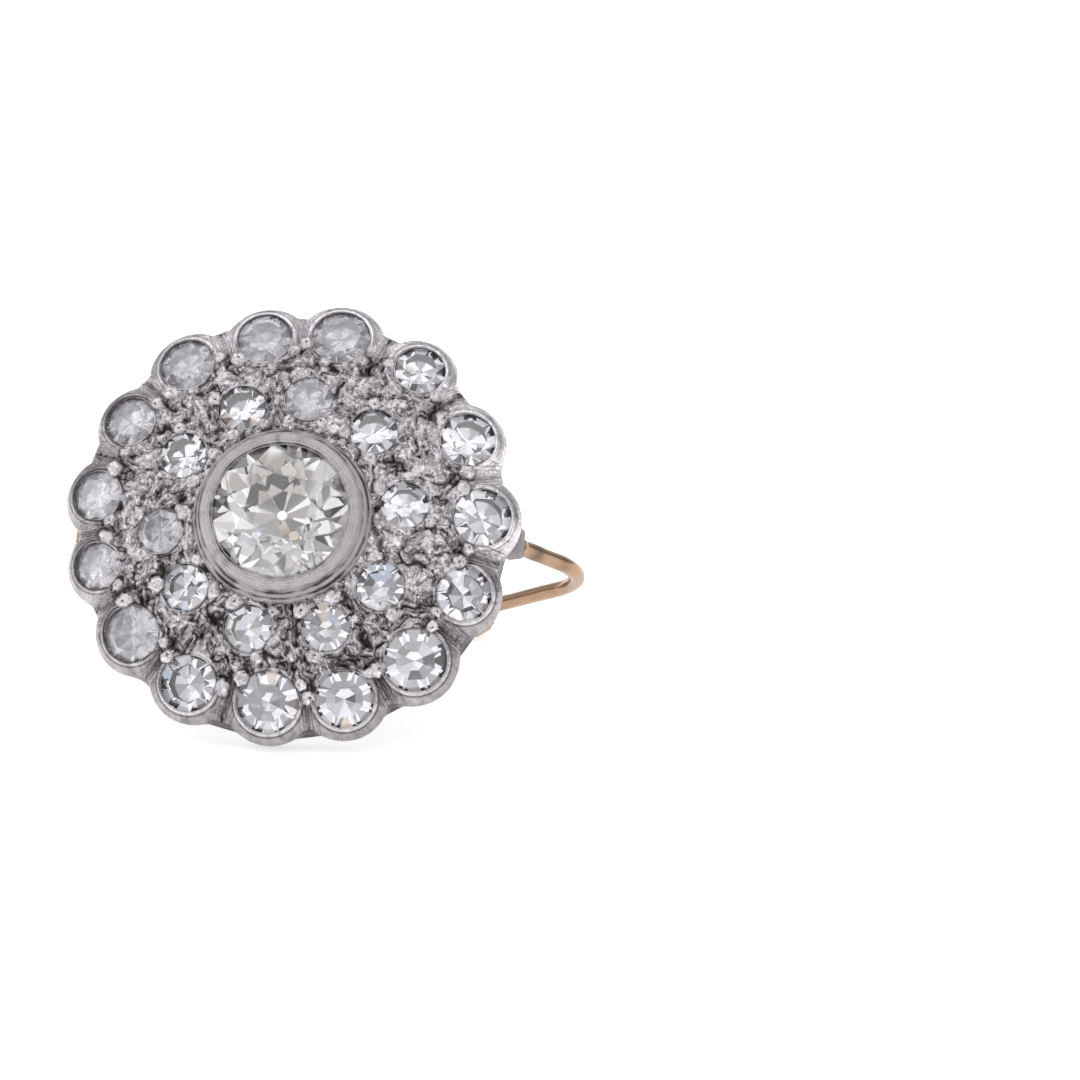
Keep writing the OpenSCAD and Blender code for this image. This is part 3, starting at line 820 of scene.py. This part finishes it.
# The centre stone: an old-cut diamond of 5.3 mm, with a small table, a high crown, a deep pavilion
# and a flat culet. It has a faint warm tint and a grey-brown cloud above its middle.
CENTRE_R, CENTRE_GIRDLE_Z, CENTRE_TURN = 2.65, 3.0, math.radians(11)
cloud_at = tuple((lay @ Vector((-0.2, 1.0, CENTRE_GIRDLE_Z + 0.8))) / MM)
centre_diamond = diamond("centre_diamond", (0.8, 0.795, 0.79), (0.87, 0.87, 0.9), 0.02, cloud_at)
r, half = CENTRE_R, math.cos(EIGHTH)
thin, crown_z, depth, table_r, star_r = 0.03 * r, 0.36 * r, 0.98 * r, 0.48 * r, 0.74 * r
lower_r, culet_r = 0.45 * r, 0.075 * r
star_z = thin + (crown_z - thin) * (r - star_r * half) / (r - table_r)
lower_z = -thin - (depth - thin) * (r - lower_r * half) / (r - culet_r * half)
cut = ring_of(8, table_r, crown_z) + ring_of(8, star_r, star_z, EIGHTH)
cut += ring_of(16, r, thin) + ring_of(16, r, -thin)
cut += ring_of(8, lower_r, lower_z, EIGHTH) + ring_of(8, culet_r, -depth, EIGHTH)
faces = [tuple(range(8))]
faces += [(8 + i, (i + 1) % 8, i) for i in range(8)]
faces += [(8 + (i + 7) % 8, 16 + 2 * i, 8 + i, i) for i in range(8)]
faces += [(16 + 2 * i + 1, 8 + i, 16 + 2 * i) for i in range(8)]
faces += [(16 + 2 * i + 1, 16 + (2 * i + 2) % 16, 8 + i) for i in range(8)]
faces += [(32 + i, 32 + (i + 1) % 16, 16 + (i + 1) % 16, 16 + i) for i in range(16)]
faces += [(48 + i, 32 + 2 * i + 1, 32 + 2 * i) for i in range(8)]
faces += [(48 + i, 32 + (2 * i + 2) % 16, 32 + 2 * i + 1) for i in range(8)]
faces += [(48 + (i + 7) % 8, 56 + (i + 7) % 8, 56 + i, 48 + i, 32 + 2 * i) for i in range(8)]
faces += [tuple(56 + i for i in range(7, -1, -1))]
set_down = Matrix.Translation((*COLLET_AT, CENTRE_GIRDLE_Z)) @ Matrix.Rotation(CENTRE_TURN, 4, "Z")
points = [set_down @ p for p in cut]
stone = piece("centre_diamond", points, faces, centre_diamond, smooth=False)
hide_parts("centre_stone")

# The hook's block: a small piece of the rim's white metal, bent back from the worn-up end, that the
# gold hook is soldered to.
CORNER_TURNS = (0, 30, 60, 90)
CORNERS = (1, 1, 0), (-1, 1, 90), (-1, -1, 180), (1, -1, 270)
FIRST_STEP = 0.35


def strip(side_a, side_b, halves, edge, ends=(True, True)):
    """A solid strip between two lines of the side view, with rounded corners. halves gives, for
    each point, how far it reaches to each side, low and high."""
    side_a, side_b = ([Vector((x, 0, z)) for x, z in side] for side in (side_a, side_b))
    last = len(side_a) - 1
    stations = [(i, 0.0) for i in range(last + 1)]
    if ends[0]:
        stations = [(0, edge), (0, edge * FIRST_STEP)] + stations[1:]
    if ends[1]:
        stations = stations[:-1] + [(last, edge * FIRST_STEP), (last, edge)]
    loops = []
    for i, inset in stations:
        a, b = side_a[i], side_b[i]
        if inset == edge * FIRST_STEP:
            near = 1 if i == 0 else i - 1
            a, b = (
                p.lerp(side[near], min(0.8, edge * 0.6 / (p - side[near]).length))
                for p, side in ((a, side_a), (b, side_b))
            )
        low, high = halves[i]
        thick = (b - a).length
        way = (b - a) / thick
        round_off = min(edge, thick * 0.45, (high - low) * 0.45)
        corner = round_off - min(inset, round_off)
        loop = []
        for to_b, to_high, start in CORNERS:
            u = thick / 2 + to_b * (thick / 2 - round_off)
            v = (low + high) / 2 + to_high * ((high - low) / 2 - round_off)
            for turn in CORNER_TURNS:
                t = math.radians(start + turn)
                across_strip = Vector((0, v + corner * math.sin(t), 0))
                loop.append(a + way * (u + corner * math.cos(t)) + across_strip)
        loops.append(loop)
    return [p for loop in loops for p in loop], closed(loops)


def resample(line, count):
    line = np.array(line, float)
    run = np.concatenate(([0], np.cumsum(np.hypot(*np.diff(line, axis=0).T))))
    at = np.linspace(0, run[-1], count)
    return [(float(np.interp(a, run, line[:, 0])), float(np.interp(a, run, line[:, 1]))) for a in at]


BLOCK_HALF, BLOCK_EDGE, BLOCK_STEPS = 0.56, 0.14, 14
inner_line = resample([(7.7, 0.4), (7.7, -0.2), (7.85, -0.6), (8.12, -0.92)], BLOCK_STEPS)
outer_line = resample([(8.4, 0.5), (8.6, 0.1), (8.68, -0.2), (8.72, -0.52)], BLOCK_STEPS)
halves = [(-BLOCK_HALF, BLOCK_HALF)] * BLOCK_STEPS
points, faces = strip(inner_line, outer_line, halves, BLOCK_EDGE)
block = piece("hook_block", points, faces, smooth_metal, marks={"tarnish": [0.75] * len(points)})
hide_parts("head")

# The ear hook: rose-gold wire bent to a round arch, thicker where it is soldered to the block and
# a little flattened on its sides, with its tip rounded to sit in the lever's fork.
gold = metal(
    "rose_gold", bright=(0.48, 0.315, 0.205), darker=(0.4, 0.255, 0.165), darkening=(0.16, 0.12, 0.08),
    rough=0.16, grain=3.0, depth=0.000004,
)
BEND_MIDDLE, BEND_R = Vector((7.16, 0, -4.54)), 3.12
FRONT_TURN, BACK_TURN = math.radians(33), math.radians(-45)
FRONT_LEG, BACK_LEG = 2.47, 4.6
WIRE_R, WIRE_TAPER, SOLDER_R = 0.33, 0.03, 0.05
WIRE_RINGS, WIRE_SIDES = 120, 28
# Brown stains along the wire: how far from the block, how long and how dark each is
STAINS = (0.9, 0.45, 0.9), (2.5, 0.5, 0.55), (4.6, 1.0, 0.4)
bend_run = BEND_R * (FRONT_TURN - BACK_TURN)
whole_run = FRONT_LEG + bend_run + BACK_LEG
rings, darkening = [], []
for i in range(WIRE_RINGS):
    run = whole_run * i / (WIRE_RINGS - 1)
    turn = FRONT_TURN - min(max(run - FRONT_LEG, 0), bend_run) / BEND_R
    out = Vector((math.cos(turn), 0, math.sin(turn)))
    onward = Vector((math.sin(turn), 0, -math.cos(turn)))
    straight = min(run - FRONT_LEG, 0) + max(run - FRONT_LEG - bend_run, 0)
    middle = BEND_MIDDLE + out * BEND_R + onward * straight
    left = whole_run - run
    thick = WIRE_R - WIRE_TAPER * run / whole_run + SOLDER_R * math.exp(-((run / 0.16) ** 2))
    if left < thick:
        thick *= math.sqrt(max(0.0, 1 - (1 - left / thick) ** 2)) * 0.98 + 0.02
    ring = []
    for k in range(WIRE_SIDES):
        a = k * 2 * math.pi / WIRE_SIDES
        wide = thick * (1 - 0.03 * noise.noise((math.cos(a) + run, math.sin(a), 0.5)))
        ring.append(middle + out * (wide * math.cos(a)) + Vector((0, wide * 0.94 * math.sin(a), 0)))
    rings.append(ring)
    darkening += [sum(deep * hump(run, place, wide) for place, wide, deep in STAINS)] * WIRE_SIDES
points = [p for ring in rings for p in ring]
hook = piece("gold_hook", points, closed(rings), gold, marks={"tarnish": darkening})
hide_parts("ear_hook")

# The hinge: a gold knuckle soldered behind the rim between the lever's two ears, and a riveted pin
# of the same gold through all three.
for name in ("hinge_knuckle", "hinge_pin"):
    for place in frame["nodes"][name].material_slots:
        place.material = gold

# The lever: a flat rose-gold strip, bent to an arm, a round heel and a straight back. Its ears hold
# the pin, its waist is drawn in, and its forked end takes the hook's tip.
EAR_R, STRIP_T, HEEL_R, BACK_Z = 0.75, 0.6, 3.2, -10.25
LEVER_HALF, SLOT_HALF, FORK_HALF, LEVER_EDGE = 1.15, 0.53, 0.37, 0.13
SLOT_FROM, FORK_UP = 5.25, 6.55
WAIST_AT, WAIST_IN, WAIST_SPREAD, PRONG_TAPER = -0.55, 0.35, 86.8, 0.67
EAR_STEPS, SPINE_STEPS, PRONG_STEPS = 26, 90, 14
arm_out = HINGE_X - EAR_R + 0.05
arm_in = arm_out + STRIP_T
slot_end = HINGE_Z - 1.05
heel_at = (arm_out + HEEL_R, BACK_Z + HEEL_R)


def bend(radius, first, last, count, middle=heel_at):
    turns = np.radians(np.linspace(first, last, count))
    return [(middle[0] + radius * math.cos(t), middle[1] + radius * math.sin(t)) for t in turns]


def side_line(x, radius, z):
    """One side of the strip: down the arm, round the heel and along the back to the slot."""
    return [(x, slot_end), (x, heel_at[1])] + bend(radius, 180, 270, 40) + [(SLOT_FROM, z)]


hinge_xz = (HINGE_X, HINGE_Z)
ear_out = bend(EAR_R, 98, 184, 30, hinge_xz) + [(arm_out, -1.7), (arm_out, slot_end)]
ear_in = bend(EAR_R, 82, -98, 40, hinge_xz) + [(arm_in, -2.1), (arm_in, slot_end)]
ear_lines = [resample(line, EAR_STEPS) for line in (ear_in, ear_out)]
spine_in = resample(side_line(arm_in, HEEL_R - STRIP_T, BACK_Z + STRIP_T), SPINE_STEPS)
spine_out = resample(side_line(arm_out, HEEL_R, BACK_Z), SPINE_STEPS)
prong_lines = [
    resample([(SLOT_FROM, z), (FORK_UP, z)], PRONG_STEPS) for z in (BACK_Z + STRIP_T, BACK_Z)
]
ear_halves = [(SLOT_HALF, LEVER_HALF)] * EAR_STEPS
spine_halves, prong_halves = [], []
for x, _ in spine_out:
    half = min(LEVER_HALF, LEVER_HALF - WAIST_IN + (x - WAIST_AT) ** 2 / WAIST_SPREAD)
    spine_halves.append((-half, half))
for x, _ in prong_lines[0]:
    narrowed = (x - FORK_UP + 0.6) * PRONG_TAPER
    prong_halves.append((FORK_HALF, min(LEVER_HALF, LEVER_HALF - narrowed)))


def mirrored(halves):
    return [(-high, -low) for low, high in halves]


lever_points, lever_faces = [], []
for (a, b), halves, ends in (
    (ear_lines, ear_halves, (True, False)),
    (ear_lines, mirrored(ear_halves), (True, False)),
    ((spine_in, spine_out), spine_halves, (False, False)),
    (prong_lines, prong_halves, (False, True)),
    (prong_lines, mirrored(prong_halves), (False, True)),
):
    points, faces = strip(a, b, halves, LEVER_EDGE, ends)
    offset = len(lever_points)
    lever_points += points
    lever_faces += [tuple(offset + i for i in f) for f in faces]
lever = piece("gold_lever", lever_points, lever_faces, gold, body="lever")
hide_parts("lever")

# The photographer's table: a plain near-white floor under soft light from above and both sides.
FLOOR_R, FLOOR_SIDES = 3, 48
floor_mat, start = new_material("pale_floor")
tone = start.node("TexCoord", out="Object").mottle(6.0).between(0.3, 0.7)
tone = tone.blend((0.93, 0.93, 0.93), (0.95, 0.95, 0.95))
finish = {"Base Color": tone, "Roughness": 0.8, "Specular IOR Level": 0.2}
finish.update({"Emission Color": tone, "Emission Strength": 0.65})
start.node("OutputMaterial", {}, {"Surface": start.node("BsdfPrincipled", {}, finish)})
floor_rings = [ring_of(FLOOR_SIDES, r, 0) for r in (0.01, FLOOR_R)]
mesh = bpy.data.meshes.new("floor")
floor_points = [p for ring in floor_rings for p in ring]
mesh.from_pydata(floor_points, [], bands(floor_rings) + [tuple(range(FLOOR_SIDES))])
mesh.materials.append(floor_mat)
floor = bpy.data.objects.new("floor", mesh)
bpy.context.scene.collection.objects.link(floor)

# The room round the table: grey with soft pale patches and a few small coloured ones, which the
# stones break up and show as their pattern, under a white ceiling.
world = bpy.data.worlds.new("studio")
bpy.context.scene.world = world
world.use_nodes = True
world.node_tree.nodes.clear()
start = Wire(world.node_tree)
way = start.node("TexCoord", out="Generated")
up = start.node("SeparateXYZ", {}, {"Vector": way}, out="Z")
patches = [way.mottle(scale, 0.0).between(0.42, 0.55) * 0.5 for scale in (3.2, 7.0)]
tones = [
    (0.0, (0.07, 0.068, 0.07)), (0.14, (0.3, 0.285, 0.275)), (0.5, (0.47, 0.468, 0.482)),
    (0.85, (0.88, 0.88, 0.91)),
]
shade = start.node("ValToRGB", {"stops": tones}, {"Fac": patches[0] + patches[1]})
flash = way.mottle(14.0, 0.0)
shade = flash.between(0.27, 0.26).blend(shade, (0.62, 0.72, 0.85))
shade = flash.between(0.74, 0.75).blend(shade, (0.9, 0.78, 0.67))
shade = up.between(0.6, 0.95).blend(shade, (0.8, 0.79, 0.81))
backdrop = start.node("Background", {}, {"Color": shade, "Strength": 1.0})
start.node("OutputWorld", {}, {"Surface": backdrop})


def lamp(name, place, size, power):
    light = bpy.data.lights.new(name, "AREA")
    light.shape, light.size, light.energy = "DISK", size, power
    made = bpy.data.objects.new(name, light)
    made.location = place
    made.rotation_mode = "QUATERNION"
    made.rotation_quaternion = (-Vector(place)).to_track_quat("-Z", "Y")
    bpy.context.scene.collection.objects.link(made)


lamp("overhead", (-0.1, -0.1, 0.7), 1.1, 1.5)
lamp("left", (-0.45, -0.2, 0.25), 0.3, 0.25)
bpy.context.scene.view_settings.view_transform = "Standard"

# The camera: above the floor, in front and a little to the right, as the photograph was taken, and
# far enough off to flatten the picture. The head stands left of the middle of the picture.
turn, rise, far = math.radians(8.9), math.radians(19.445), 0.3
AIM_RIGHT, AIM_DOWN = 0.00927, 0.00042
level = math.cos(rise)
to_camera = Vector((math.sin(turn) * level, -math.cos(turn) * level, math.sin(rise)))
to_right = Vector((math.cos(turn), math.sin(turn), 0))
to_top = to_camera.cross(to_right)
head_middle = lay @ Vector((0, 0, 0))
camera_data = bpy.data.cameras.new("camera")
camera_data.lens, camera_data.sensor_width = 264, 36
camera = bpy.data.objects.new("camera", camera_data)
camera.location = head_middle + to_camera * far
look_at = head_middle + to_right * AIM_RIGHT - to_top * AIM_DOWN
camera.rotation_mode = "QUATERNION"
camera.rotation_quaternion = (look_at - camera.location).to_track_quat("-Z", "Y")
camera_data.clip_start, camera_data.clip_end = 0.01, 10
bpy.context.scene.collection.objects.link(camera)
bpy.context.scene.camera = camera
